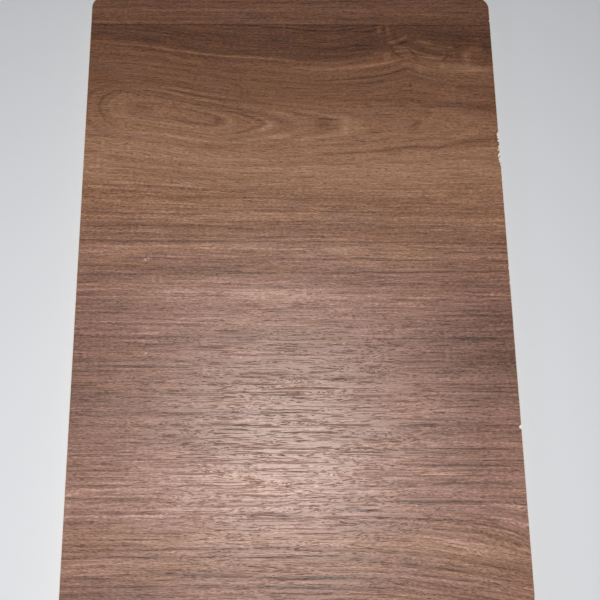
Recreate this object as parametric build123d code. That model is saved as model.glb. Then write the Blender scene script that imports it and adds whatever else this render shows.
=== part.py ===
from build123d import *

import os
from math import sqrt
from typing import NamedTuple

# Melamine-faced plywood panel: one piece of pre-cut shelf stock, lying flat.
# Millimetres. +Z is up, out of the show face, and +Y runs along the length to the far end.
# The origin is the middle of the underside, and the worn long edge is the one on +X.

# Driving dimensions
LENGTH = 600.0  # along Y, a length that such panels are sold in
WIDTH = 300.0  # along X, a stock shelf depth
THICKNESS = 18.0  # along Z, from film to film
CORNER_RADIUS = 10.0  # the four upright corners, rounded before the faces were eased
ARRIS = 0.6  # the 45 degree easing round both faces, cut through the film into the ply


class Chip(NamedTuple):
    """A flake knocked out of the top arris of the worn long edge.

    from_far_end is its place along the edge. length is its mouth along the sharp corner that
    the arris took off. bite is how far it reaches into the face past the arris, and drop is
    how far it reaches down the edge past the arris.
    """

    from_far_end: float
    length: float
    bite: float
    drop: float


# The ragged stretch is the four from 112 to 132 mm, and the rest stand alone.
CHIPS = [
    Chip(from_far_end=20.5, length=2.4, bite=0.4, drop=0.3),
    Chip(from_far_end=112.5, length=3.6, bite=1.1, drop=0.6),
    Chip(from_far_end=122.7, length=2.6, bite=0.6, drop=0.4),
    Chip(from_far_end=128.9, length=4.4, bite=1.5, drop=0.8),
    Chip(from_far_end=132.4, length=2.4, bite=0.6, drop=0.4),
    Chip(from_far_end=212.6, length=2.6, bite=0.4, drop=0.3),
    Chip(from_far_end=223.1, length=2.2, bite=0.4, drop=0.3),
    Chip(from_far_end=321.6, length=3.0, bite=1.6, drop=0.5),
    Chip(from_far_end=428.2, length=2.2, bite=0.3, drop=0.3),
]


def eased_blank():
    """The sheet cut to size, its corners rounded and the rims of both faces eased."""
    outline = RectangleRounded(WIDTH, LENGTH, CORNER_RADIUS)
    blank = extrude(outline, THICKNESS)
    rims = blank.faces().filter_by(Axis.Z).edges()
    return chamfer(rims, ARRIS)


def offset_for(half_mouth, reach):
    """How far beyond a face a ball's centre stands, for that half mouth and that reach."""
    return (half_mouth**2 - reach**2) / (2 * reach)


def chip_ball(chip):
    """The ball whose cut has the chip's mouth along the corner, its bite and its drop."""
    half_mouth = chip.length / 2
    out = offset_for(half_mouth, ARRIS + chip.bite)
    up = offset_for(half_mouth, ARRIS + chip.drop)
    radius = sqrt(half_mouth**2 + out**2 + up**2)
    along = LENGTH / 2 - chip.from_far_end
    return Pos(WIDTH / 2 + out, along, THICKNESS + up) * Sphere(radius)


def plywood_panel():
    """The eased blank with every flake taken out of its worn edge."""
    panel = eased_blank()
    for chip in CHIPS:
        panel -= chip_ball(chip)
    return panel


os.makedirs("parts", exist_ok=True)
export_step(plywood_panel(), "parts/plywood_panel.step")
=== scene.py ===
"""Dresses the faced plywood panel and sets the pale studio around it.

The panel is one closed surface. Its show face carries a printed walnut figure whose lines
come from a formula, kept on the mesh as two UV maps in millimetres, and its cut edge has
the relief of the plies. Lengths in the dataclasses are millimetres, in the panel's own
frame: x across the panel, y along it, z up. "Down" is the distance from the far end, which
is at y = +length / 2.
"""

from __future__ import annotations

import logging
from collections.abc import Callable
from dataclasses import dataclass, field
from enum import Enum

import bpy
import numpy as np
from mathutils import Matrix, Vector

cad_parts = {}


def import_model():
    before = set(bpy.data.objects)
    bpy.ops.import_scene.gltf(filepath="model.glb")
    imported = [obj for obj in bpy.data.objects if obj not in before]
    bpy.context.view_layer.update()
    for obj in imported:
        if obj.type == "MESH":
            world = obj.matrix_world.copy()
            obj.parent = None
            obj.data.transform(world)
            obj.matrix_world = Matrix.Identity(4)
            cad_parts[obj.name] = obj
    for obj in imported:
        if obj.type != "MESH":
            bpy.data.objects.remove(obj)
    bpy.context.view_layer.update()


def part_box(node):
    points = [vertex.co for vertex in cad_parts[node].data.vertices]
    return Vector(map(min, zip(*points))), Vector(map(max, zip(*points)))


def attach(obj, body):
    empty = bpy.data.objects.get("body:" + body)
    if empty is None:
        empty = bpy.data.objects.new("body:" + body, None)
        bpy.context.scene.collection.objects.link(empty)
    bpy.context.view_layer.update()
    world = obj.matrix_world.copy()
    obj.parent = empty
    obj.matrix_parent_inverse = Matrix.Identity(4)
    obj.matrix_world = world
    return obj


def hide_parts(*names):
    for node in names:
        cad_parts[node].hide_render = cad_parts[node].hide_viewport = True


NODE = "plywood_panel"
BODY = "root"
MM = 0.001
log = logging.getLogger("panel")


class Finish(Enum):
    """The order of the panel's finishes in its material slots."""

    FILM = 0
    FILM_EDGE = 1
    PLY = 2


def hex_to_linear(code: str) -> tuple[float, float, float, float]:
    """Turns an sRGB hex colour into the linear RGBA that a shader takes.

    By the sRGB standard a channel up to 0.04045 is divided by 12.92, and above that it is
    moved up by 0.055, divided by 1.055 and raised to the power of 2.4.

    Args:
        code: Six hex digits, with or without a leading hash.

    Returns:
        Linear red, green and blue, and an alpha of one.
    """
    digits = code.lstrip("#")
    srgb = np.array([int(digits[i:i + 2], 16) for i in (0, 2, 4)]) / 255.0
    linear = np.where(srgb <= 0.04045, srgb / 12.92, ((srgb + 0.055) / 1.055) ** 2.4)
    return (float(linear[0]), float(linear[1]), float(linear[2]), 1.0)


def add(
    tree: bpy.types.NodeTree,
    kind: str,
    settings: dict | None = None,
    links: dict | None = None,
) -> bpy.types.Node:
    """Adds one shader node.

    Args:
        tree: The material's node tree.
        kind: The node's type.
        settings: A node property's name, or an input's name or number, to its value.
        links: An input's name or number to the output that feeds it.

    Returns:
        The new node.
    """
    node = tree.nodes.new(kind)
    for key, value in (settings or {}).items():
        if isinstance(key, str) and hasattr(node, key):
            setattr(node, key, value)
        else:
            node.inputs[key].default_value = value
    for key, source in (links or {}).items():
        tree.links.new(source, node.inputs[key])
    return node


def ease(t: np.ndarray) -> np.ndarray:
    """Smooth step: 3t squared less 2t cubed, with t held between 0 and 1."""
    held = np.clip(t, 0.0, 1.0)
    return held * held * (3.0 - 2.0 * held)


def graded(start: float, stop: float, steps: np.ndarray, at: np.ndarray) -> np.ndarray:
    """Places from start to stop whose spacing follows a given step length.

    The running sum of one over the step counts the places, and equal shares of that count
    are read back as places.

    Args:
        start: First place.
        stop: Last place.
        steps: Wanted step at each of the finely spaced places in at.
        at: Finely spaced places from start to stop.

    Returns:
        The places, start and stop included.
    """
    count = np.concatenate([[0.0], np.cumsum(np.diff(at) / (0.5 * (steps[1:] + steps[:-1])))])
    places = np.interp(np.linspace(0.0, count[-1], int(np.ceil(count[-1])) + 1), count, at)
    places[0], places[-1] = start, stop
    return places


@dataclass(frozen=True)
class Chip:
    """A flake out of the worn edge's top arris, with the sizes that the solid has."""

    from_far_end: float
    length: float
    bite: float
    drop: float


@dataclass(frozen=True)
class WornEdge:
    """The long edge on +X: its flakes, and how ragged its film is between them.

    ragged is the deepest tear of the ragged stretch and calm that of the rest of the edge.
    """

    chips: tuple[Chip, ...] = (
        Chip(from_far_end=20.5, length=2.4, bite=0.4, drop=0.3),
        Chip(from_far_end=112.5, length=3.6, bite=1.1, drop=0.6),
        Chip(from_far_end=122.7, length=2.6, bite=0.6, drop=0.4),
        Chip(from_far_end=128.9, length=4.4, bite=1.5, drop=0.8),
        Chip(from_far_end=132.4, length=2.4, bite=0.6, drop=0.4),
        Chip(from_far_end=212.6, length=2.6, bite=0.4, drop=0.3),
        Chip(from_far_end=223.1, length=2.2, bite=0.4, drop=0.3),
        Chip(from_far_end=321.6, length=3.0, bite=1.6, drop=0.5),
        Chip(from_far_end=428.2, length=2.2, bite=0.3, drop=0.3),
    )
    ragged_from: float = 108.0
    ragged_to: float = 138.0
    ragged: float = 1.9
    fade: float = 6.0
    calm: float = 0.12
    waves: tuple[float, float, float] = (2.3, 3.7, 9.1)
    lift: float = 0.7
    seed: int = 11

    def tear(self, down: np.ndarray) -> np.ndarray:
        """How far the film is torn back past the arris between flakes.

        Three sine waves of unlike lengths with seeded phases are added to a lift, cut at
        zero, and scaled by a plateau over the ragged stretch.

        Args:
            down: Distances from the far end.

        Returns:
            The tear at each place, zero or more.
        """
        phases = np.random.default_rng(self.seed).uniform(0.0, 2.0 * np.pi, len(self.waves))
        swell = sum(
            np.sin(2.0 * np.pi * down / length + phase)
            for length, phase in zip(self.waves, phases)
        )
        start = ease((down - self.ragged_from) / self.fade)
        end = ease((self.ragged_to - down) / self.fade)
        shape = np.maximum(swell + self.lift, 0.0) / (len(self.waves) + self.lift)
        return shape * (self.calm + (self.ragged - self.calm) * start * end)

    def flakes(self, down: np.ndarray, arris: float) -> tuple[np.ndarray, np.ndarray]:
        """The flakes' bite into the face and drop down the edge, past the arris.

        Each flake falls off from its middle as a half ellipse does, and where flakes
        overlap the deeper one counts.

        Args:
            down: Distances from the far end.
            arris: The easing that the flakes start from.

        Returns:
            Bite and drop at each place.
        """
        bite = np.zeros_like(down)
        drop = np.zeros_like(down)
        for chip in self.chips:
            along = 2.0 * (down - chip.from_far_end) / chip.length
            bow = np.sqrt(np.maximum(1.0 - along**2, 0.0))
            bite = np.maximum(bite, (arris + chip.bite) * bow - arris)
            drop = np.maximum(drop, (arris + chip.drop) * bow - arris)
        return bite, drop


@dataclass(frozen=True)
class WalnutFigure:
    """The printed figure: a cathedral eye, a knot and a slip joint over straight grain.

    The ring coordinate is zero on the eye's spine and counts millimetres across the growth
    rings away from it. The fibre coordinate runs the same way but never folds back, so the
    pores that follow it stay nearly level.
    """

    joint: float = 23.7
    strip_offset: float = -140.0
    strip_shift: float = 430.0
    under_offset: float = 600.0
    spine_level: float = 105.2
    spine_rise: float = 16.5
    spine_turn: float = -78.0
    spine_run: float = 17.0
    tip_start: float = -60.0
    tip_depth: float = 20.0
    tip_run: float = 58.0
    late_start: float = 40.0
    late_slope: float = 0.05
    bow_start: float = -115.0
    bow_slope: float = 0.55
    knot_x: float = 85.0
    knot_lift: float = 9.0
    knot_run: float = 18.0
    sag_x: float = 22.0
    sag_depth: float = 4.0
    sag_run: float = 32.0
    dip_x: float = -105.0
    dip_depth: float = 6.4
    dip_run: float = 60.0
    slope: float = 0.016
    bend_start: float = 20.0
    bend_rate: float = 0.0009
    bend_from: float = 364.0
    bend_fade: float = 38.0
    crowd_share: float = 0.45
    crowd_start: float = -20.0
    crowd_run: float = 85.0
    crowd_depth: float = 20.0
    warp_start: float = 8.0
    warp_run: float = 38.0
    knot_blunt: float = 6.0
    plain_level: float = 104.0
    plain_pivot: float = 75.0
    plain_from: float = 112.0
    plain_fade: float = 70.0

    def spine(self, x: np.ndarray) -> np.ndarray:
        """The eye's centre line: level at the right, up a logistic step at the left."""
        step = 1.0 + np.exp((x - self.spine_turn) / self.spine_run)
        return self.spine_level - self.spine_rise / step

    def reach(self, x: np.ndarray) -> np.ndarray:
        """The ring met on the spine, which sets where each loop of the eye closes."""
        tips = 1.0 - np.exp(-np.maximum(x - self.tip_start, 0.0) / self.tip_run)
        late = self.late_slope * np.maximum(x - self.late_start, 0.0)
        bow = self.bow_slope * np.maximum(self.bow_start - x, 0.0)
        return self.tip_depth * tips + late + bow

    def place(self, x: float, down: float) -> tuple[float, float, float]:
        """One place in the coordinates that the UV maps hold.

        Args:
            x: Place across the panel.
            down: Distance from the far end.

        Returns:
            The place along the grain, the ring coordinate and the fibre coordinate.
        """
        if down < self.joint:
            return (x + self.strip_shift, self.strip_offset + down, self.strip_offset + down)
        rings, fibres = self.coordinates(np.array([x]), np.array([down]))
        return (x, float(rings[0]), float(fibres[0]))

    def coordinates(self, x: np.ndarray, down: np.ndarray) -> tuple[np.ndarray, np.ndarray]:
        """Ring and fibre coordinates of points on the face below the slip joint.

        Near the eye a ring is the root of the spine ring squared plus the distance from the
        spine squared, so that rings close to pointed loops. At the left they crowd together
        below the spine. Above the eye a sag, a dip and a knot bend them, and below it they
        fade to straight grain, which curves down at the near right.

        Args:
            x: Places across the panel.
            down: Distances from the far end.

        Returns:
            The ring coordinate and the fibre coordinate, in millimetres.
        """
        off = down - self.spine(x)
        crowd = self.crowd_share * ease((self.crowd_start - x) / self.crowd_run)
        below = 1.0 - np.exp(-np.maximum(off, 0.0) / self.crowd_depth)
        across = off - crowd * self.crowd_depth * below
        above = ease((-off - self.warp_start) / self.warp_run)
        sag = self.sag_depth * np.exp(-(((x - self.sag_x) / self.sag_run) ** 2))
        dip = self.dip_depth * np.exp(-(((x - self.dip_x) / self.dip_run) ** 2))
        from_knot = np.sqrt((x - self.knot_x) ** 2 + self.knot_blunt)
        knot = self.knot_lift * np.exp(-from_knot / self.knot_run)
        warp = above * (sag + dip - knot)
        rings = np.sqrt(self.reach(x) ** 2 + across**2) + warp
        fibres = off - warp
        low = ease((down - self.bend_from) / self.bend_fade)
        bend = self.bend_rate * np.maximum(x - self.bend_start, 0.0) ** 2 * low
        straight = down - self.plain_level + self.slope * (self.plain_pivot - x) - bend
        plain = ease((down - self.plain_from) / self.plain_fade)
        return (
            rings * (1.0 - plain) + straight * plain,
            fibres * (1.0 - plain) + straight * plain,
        )


class Guide(Enum):
    """What a streak or a grain of the print runs along."""

    RINGS = "rings"
    FIBRES = "fibres"
    FACE = "face"


@dataclass(frozen=True)
class Mark:
    """One streak or patch of the print, or of painted highlight or shade, an ellipse that fades out to its
    rim.

    Its length runs along its guide, and x and down give its middle on the face. tone is
    added to the print, below zero for darker, and turn tilts a mark on the face, in degrees.
    """

    x: float
    down: float
    half_length: float
    half_width: float
    tone: float
    turn: float = 0.0
    guide: Guide = Guide.RINGS


@dataclass(frozen=True)
class Stroke:
    """One short stroke of the knot or the eye, from one point of the face to another.

    Its rim fades out, so fade makes its mark that much longer and wider than the stroke.
    """

    from_x: float
    from_down: float
    to_x: float
    to_down: float
    half_width: float
    tone: float
    fade: float = 1.55

    def mark(self) -> Mark:
        """The stroke as a mark on the face: middle, half length and turn of its line."""
        run, drop = self.to_x - self.from_x, self.to_down - self.from_down
        return Mark(
            x=0.5 * (self.from_x + self.to_x),
            down=0.5 * (self.from_down + self.to_down),
            half_length=0.5 * self.fade * float(np.hypot(run, drop)),
            half_width=self.fade * self.half_width,
            tone=self.tone,
            turn=float(np.degrees(np.arctan2(-drop, run))),
            guide=Guide.FACE,
        )


@dataclass(frozen=True)
class Grain:
    """A layer of print noise: the run and width of its streaks, and how strong it is.

    depth is its strength in the figured part, down to the end of the eye, and plain is its
    strength in the straight grain below it: in tone or palette share, or in millimetres for
    a layer that moves the places that others are drawn in. detail is its finer octaves.
    """

    run: float
    width: float
    depth: float
    plain: float
    detail: float
    guide: Guide


@dataclass(frozen=True)
class Pores:
    """A layer of printed and pressed pores: one dash to a cell of the stretched surface.

    share is the part of the cells that hold a dash, tone is its ink in the straight grain,
    figured is the factor on that ink in the figured part, and offset keeps layers apart.
    """

    run: float
    width: float
    share: float
    tone: float
    figured: float
    offset: float


@dataclass(frozen=True)
class WalnutMelamine:
    """Melamine film: printed walnut paper under clear resin, pressed against a pore plate.

    The resin's high index gives a broad soft sheen, and the pressed pores break that sheen
    into short dark dashes along the grain. Tones run from zero, dark, to one, pale. bands
    gives the tone at a fibre level in millimetres, and rosy the share of the rose palette.
    The print's pores are about 0.6 mm wide. They are drawn 0.7 to 1.0 mm wide from rim to
    soft rim, so that they show where a pixel is 0.7 mm.
    """

    index: float = 1.64
    sheen: str = "#FFF7F1"
    roughness: float = 0.40
    palette: tuple[float, ...] = (0.0, 0.25, 0.5, 0.75, 1.0)
    warm: tuple[str, ...] = ("#3E2216", "#6B432B", "#8A5D41", "#A37658", "#C2977A")
    rose: tuple[str, ...] = ("#40281F", "#6B4638", "#8A6252", "#A37665", "#C49C8E")
    level_low: float = -145.0
    level_high: float = 500.0
    bands: tuple[tuple[float, float], ...] = (
        (-140.0, 0.385),
        (-112.0, 0.385),
        (-92.0, 0.32),
        (-58.0, 0.28),
        (-50.0, 0.42),
        (-30.0, 0.47),
        (-18.0, 0.50),
        (-6.0, 0.60),
        (8.0, 0.69),
        (22.0, 0.72),
        (38.0, 0.80),
        (58.0, 0.64),
        (90.0, 0.62),
        (128.0, 0.64),
        (180.0, 0.60),
        (235.0, 0.63),
        (262.0, 0.71),
        (300.0, 0.66),
        (318.0, 0.58),
        (500.0, 0.60),
    )
    rosy: tuple[tuple[float, float], ...] = (
        (-140.0, 0.35),
        (-112.0, 0.35),
        (-90.0, 0.10),
        (60.0, 0.05),
        (100.0, 0.55),
        (140.0, 0.95),
        (270.0, 0.95),
        (290.0, 0.45),
        (310.0, 0.75),
        (500.0, 0.80),
    )
    grains: tuple[Grain, ...] = (
        Grain(run=190.0, width=15.0, depth=0.18, plain=0.34, detail=1.0, guide=Guide.RINGS),
        Grain(run=420.0, width=2.3, depth=0.26, plain=0.36, detail=1.0, guide=Guide.RINGS),
        Grain(run=110.0, width=2.2, depth=0.34, plain=0.74, detail=3.0, guide=Guide.RINGS),
        Grain(run=22.0, width=1.5, depth=0.42, plain=0.72, detail=2.0, guide=Guide.FIBRES),
        Grain(run=2.6, width=0.80, depth=0.62, plain=0.95, detail=1.0, guide=Guide.FIBRES),
    )
    sway: Grain = Grain(run=38.0, width=11.0, depth=3.0, plain=1.6, detail=1.0, guide=Guide.FIBRES)
    blotch: Grain = Grain(run=48.0, width=13.0, depth=0.9, plain=1.3, detail=1.0, guide=Guide.FIBRES)
    plain_from: float = 38.0
    plain_to: float = 58.0
    side_reach: float = 60.0
    side_fade: float = 140.0
    noise_roughness: float = 0.6
    pores: tuple[Pores, ...] = (
        Pores(run=42.0, width=1.15, share=0.22, tone=-0.20, figured=0.30, offset=71.0),
        Pores(run=17.0, width=1.0, share=0.38, tone=-0.30, figured=0.35, offset=0.0),
        Pores(run=6.5, width=0.85, share=0.45, tone=-0.30, figured=1.00, offset=37.0),
        Pores(run=3.6, width=0.95, share=0.40, tone=-0.34, figured=1.60, offset=113.0),
    )
    stagger: Grain = Grain(run=90.0, width=5.5, depth=190.0, plain=190.0, detail=1.0, guide=Guide.FIBRES)
    wobble: Grain = Grain(run=6.0, width=2.5, depth=0.8, plain=0.8, detail=0.0, guide=Guide.FIBRES)
    pore_rim: float = 0.42
    pore_heart: float = 0.08
    pore_depth: float = 0.055
    pore_roughness: float = 0.62
    marks: tuple[Mark, ...] = (
        # The slip joint and the strip past it.
        Mark(x=0.0, down=24.3, half_length=400.0, half_width=0.9, tone=-0.15, guide=Guide.FACE),
        Mark(x=-30.0, down=18.6, half_length=26.0, half_width=0.9, tone=-0.19),
        Mark(x=35.0, down=4.5, half_length=60.0, half_width=1.6, tone=-0.13),
        Mark(x=-60.0, down=12.5, half_length=70.0, half_width=2.0, tone=0.11),
        # Lines and shades between the slip joint and the eye.
        Mark(x=10.0, down=28.8, half_length=82.0, half_width=1.3, tone=-0.18),
        Mark(x=0.0, down=26.4, half_length=60.0, half_width=1.8, tone=0.11),
        Mark(x=-108.0, down=36.5, half_length=26.0, half_width=3.4, tone=-0.13),
        Mark(x=122.0, down=31.0, half_length=44.0, half_width=9.0, tone=-0.06),
        Mark(x=22.0, down=40.0, half_length=34.0, half_width=1.0, tone=0.13),
        Mark(x=28.0, down=44.3, half_length=42.0, half_width=1.9, tone=-0.11),
        Mark(x=-60.0, down=49.2, half_length=150.0, half_width=1.7, tone=0.32),
        Mark(x=25.0, down=60.2, half_length=62.0, half_width=2.0, tone=0.22),
        Mark(x=62.0, down=57.0, half_length=34.0, half_width=1.6, tone=0.26),
        Mark(x=68.0, down=59.4, half_length=26.0, half_width=1.0, tone=-0.19),
        Mark(x=62.0, down=66.5, half_length=66.0, half_width=1.2, tone=-0.24),
        Mark(x=52.0, down=72.0, half_length=30.0, half_width=1.0, tone=-0.10),
        # The eye: its loops and the shades inside them.
        Mark(x=-75.0, down=78.8, half_length=48.0, half_width=1.4, tone=0.29),
        Mark(x=-72.0, down=81.6, half_length=44.0, half_width=1.1, tone=-0.24),
        Mark(x=-80.0, down=82.4, half_length=60.0, half_width=1.2, tone=0.19),
        Mark(x=-85.0, down=84.0, half_length=66.0, half_width=1.0, tone=-0.22),
        Mark(x=-80.0, down=85.8, half_length=62.0, half_width=1.3, tone=0.19),
        Mark(x=-72.0, down=88.2, half_length=58.0, half_width=1.0, tone=-0.20),
        Mark(x=-80.0, down=90.0, half_length=50.0, half_width=1.4, tone=0.16),
        Mark(x=-80.0, down=92.6, half_length=48.0, half_width=1.3, tone=-0.19),
        Mark(x=124.0, down=88.3, half_length=38.0, half_width=1.3, tone=-0.13),
        Mark(x=124.0, down=84.4, half_length=32.0, half_width=3.0, tone=0.10),
        Mark(x=55.0, down=89.5, half_length=8.0, half_width=0.8, tone=-0.16),
        Mark(x=-134.0, down=80.0, half_length=24.0, half_width=1.1, tone=-0.20),
        Mark(x=-128.0, down=83.0, half_length=20.0, half_width=1.4, tone=0.12),
        Mark(x=-50.0, down=98.7, half_length=18.0, half_width=1.2, tone=0.15),
        Mark(x=-36.0, down=97.6, half_length=20.0, half_width=1.2, tone=-0.21),
        Mark(x=-22.0, down=100.4, half_length=16.0, half_width=1.2, tone=0.11),
        Mark(x=-109.0, down=90.5, half_length=14.0, half_width=3.2, tone=-0.17),
        Mark(x=-126.0, down=93.0, half_length=11.0, half_width=6.0, tone=0.05),
        Mark(x=-54.0, down=101.5, half_length=9.0, half_width=2.0, tone=-0.27),
        Mark(x=-61.0, down=105.0, half_length=10.0, half_width=1.5, tone=-0.19),
        Mark(x=-17.0, down=105.0, half_length=6.0, half_width=1.2, tone=0.10),
        Mark(x=22.0, down=103.0, half_length=15.0, half_width=5.0, tone=-0.10),
        Mark(x=38.0, down=101.5, half_length=7.0, half_width=2.4, tone=0.11),
        # The lines under the eye.
        Mark(x=-10.0, down=114.0, half_length=17.0, half_width=1.1, tone=0.16),
        Mark(x=15.0, down=115.0, half_length=22.0, half_width=1.8, tone=0.10),
        Mark(x=15.0, down=121.5, half_length=88.0, half_width=1.3, tone=-0.16),
        Mark(x=60.0, down=125.5, half_length=115.0, half_width=1.5, tone=-0.21),
        Mark(x=132.0, down=118.0, half_length=34.0, half_width=2.6, tone=-0.11),
        # A pale patch at the right of the knot.
        Mark(x=120.0, down=60.0, half_length=42.0, half_width=7.0, tone=0.14),
        # Single streaks of the straight grain, and broad darker and paler patches, some of them painted
        # highlight and shade as noted.
        Mark(x=0.0, down=192.8, half_length=420.0, half_width=1.2, tone=-0.24),
        Mark(x=100.0, down=186.5, half_length=64.0, half_width=1.1, tone=-0.16),
        Mark(x=-118.0, down=209.0, half_length=46.0, half_width=1.2, tone=-0.14),
        Mark(x=-84.0, down=228.0, half_length=26.0, half_width=3.4, tone=0.16),
        # Painted highlight: a pale band where the sheen reaches up the middle of the face.
        Mark(x=-10.0, down=231.0, half_length=80.0, half_width=6.0, tone=0.27),
        # Darker towards the right edge: partly darker print, partly painted shade where the sheen falls
        # off.
        Mark(x=150.0, down=268.0, half_length=95.0, half_width=95.0, tone=-0.21, guide=Guide.FACE),
        Mark(x=-150.0, down=275.0, half_length=66.0, half_width=105.0, tone=-0.14, guide=Guide.FACE),
        Mark(x=140.0, down=402.0, half_length=40.0, half_width=14.0, tone=-0.10),
        # Painted highlight: a broad pale patch that widens the sheen towards the left.
        Mark(x=-40.0, down=350.0, half_length=110.0, half_width=24.0, tone=0.13),
        Mark(x=-118.0, down=250.0, half_length=46.0, half_width=1.5, tone=-0.14),
        Mark(x=-45.0, down=256.0, half_length=15.0, half_width=2.2, tone=-0.26),
        Mark(x=105.0, down=262.5, half_length=60.0, half_width=3.0, tone=-0.10),
        Mark(x=-2.0, down=271.0, half_length=9.0, half_width=1.1, tone=-0.26),
        Mark(x=-108.0, down=278.7, half_length=48.0, half_width=1.2, tone=-0.14),
        Mark(x=-108.0, down=303.0, half_length=52.0, half_width=1.4, tone=-0.14),
        Mark(x=8.0, down=317.0, half_length=26.0, half_width=3.2, tone=-0.16),
        Mark(x=86.0, down=319.5, half_length=76.0, half_width=2.6, tone=-0.18),
        Mark(x=100.0, down=346.0, half_length=56.0, half_width=1.8, tone=-0.24),
        Mark(x=-110.0, down=364.3, half_length=60.0, half_width=1.8, tone=-0.34),
        Mark(x=92.0, down=368.5, half_length=68.0, half_width=1.7, tone=-0.38),
        Mark(x=-122.0, down=371.0, half_length=34.0, half_width=1.6, tone=-0.34),
        Mark(x=-15.0, down=375.5, half_length=36.0, half_width=1.4, tone=-0.31),
        Mark(x=85.0, down=379.0, half_length=84.0, half_width=1.6, tone=-0.28),
        Mark(x=0.0, down=396.0, half_length=230.0, half_width=1.8, tone=-0.42),
        Mark(x=70.0, down=407.0, half_length=80.0, half_width=1.6, tone=-0.24),
        Mark(x=-130.0, down=411.0, half_length=26.0, half_width=1.9, tone=-0.28),
        # Streaks and shades at the near end of the view.
        Mark(x=-60.0, down=399.6, half_length=130.0, half_width=1.4, tone=-0.35),
        Mark(x=-75.0, down=409.5, half_length=45.0, half_width=1.4, tone=-0.28),
        Mark(x=20.0, down=413.5, half_length=62.0, half_width=1.4, tone=-0.35),
        Mark(x=72.0, down=412.0, half_length=60.0, half_width=1.6, tone=-0.28),
        Mark(x=0.0, down=418.8, half_length=56.0, half_width=1.7, tone=-0.30),
        Mark(x=50.0, down=381.0, half_length=52.0, half_width=3.0, tone=-0.23),
        Mark(x=120.0, down=389.0, half_length=44.0, half_width=1.7, tone=-0.26),
        Mark(x=120.0, down=357.0, half_length=46.0, half_width=1.4, tone=-0.31),
        Mark(x=42.0, down=372.5, half_length=24.0, half_width=1.2, tone=-0.31),
        Mark(x=-130.0, down=345.5, half_length=32.0, half_width=1.2, tone=-0.30),
        Mark(x=-115.0, down=351.5, half_length=36.0, half_width=1.2, tone=-0.24),
        Mark(x=-38.0, down=353.5, half_length=28.0, half_width=1.1, tone=-0.31),
        Mark(x=-30.0, down=348.0, half_length=36.0, half_width=1.1, tone=-0.24),
        Mark(x=-115.0, down=391.8, half_length=64.0, half_width=1.6, tone=-0.31),
        Mark(x=-100.0, down=374.3, half_length=62.0, half_width=1.4, tone=0.25),
        Mark(x=-120.0, down=357.3, half_length=38.0, half_width=1.8, tone=0.20),
        Mark(x=-110.0, down=402.3, half_length=52.0, half_width=1.6, tone=0.25),
        Mark(x=-20.0, down=398.6, half_length=60.0, half_width=1.2, tone=0.17),
        Mark(x=0.0, down=416.0, half_length=52.0, half_width=1.4, tone=0.25),
        Mark(x=110.0, down=396.0, half_length=62.0, half_width=5.4, tone=0.20),
        Mark(x=50.0, down=360.0, half_length=50.0, half_width=3.6, tone=0.14),
        Mark(x=120.0, down=371.0, half_length=42.0, half_width=1.4, tone=0.17),
        # Painted highlight: a broad pale patch that widens the sheen towards the right.
        Mark(x=66.0, down=345.0, half_length=60.0, half_width=24.0, tone=0.17),
        # Long fine streaks between the eye and the panel's middle.
        Mark(x=-95.0, down=152.0, half_length=90.0, half_width=1.3, tone=-0.16),
        Mark(x=40.0, down=171.5, half_length=120.0, half_width=1.1, tone=-0.15),
        Mark(x=-70.0, down=181.0, half_length=70.0, half_width=1.2, tone=-0.14),
        Mark(x=60.0, down=206.0, half_length=110.0, half_width=1.1, tone=-0.16),
        Mark(x=-20.0, down=160.5, half_length=130.0, half_width=1.0, tone=-0.12),
        Mark(x=-40.0, down=197.0, half_length=120.0, half_width=2.6, tone=0.14),
        # Broad darker and paler patches of the face, one of them a painted highlight, the dark line inside
        # each long edge and three white specks.
        Mark(x=-150.0, down=88.0, half_length=45.0, half_width=55.0, tone=-0.08, guide=Guide.FACE),
        Mark(x=150.0, down=92.0, half_length=42.0, half_width=22.0, tone=-0.06, guide=Guide.FACE),
        # Painted highlight: a broad pale patch where the sheen reaches up the middle of the face.
        Mark(x=-35.0, down=234.0, half_length=105.0, half_width=30.0, tone=0.08, guide=Guide.FACE),
        Mark(x=-149.0, down=215.0, half_length=420.0, half_width=1.2, tone=-0.16, guide=Guide.FACE),
        Mark(x=149.0, down=215.0, half_length=420.0, half_width=1.2, tone=-0.16, guide=Guide.FACE),
        Mark(x=-103.4, down=204.8, half_length=1.5, half_width=1.2, tone=0.95, guide=Guide.FACE),
        Mark(x=-101.4, down=203.9, half_length=1.3, half_width=1.0, tone=0.8, guide=Guide.FACE),
        Mark(x=-100.9, down=269.8, half_length=1.3, half_width=1.0, tone=0.7, guide=Guide.FACE),
    )
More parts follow.
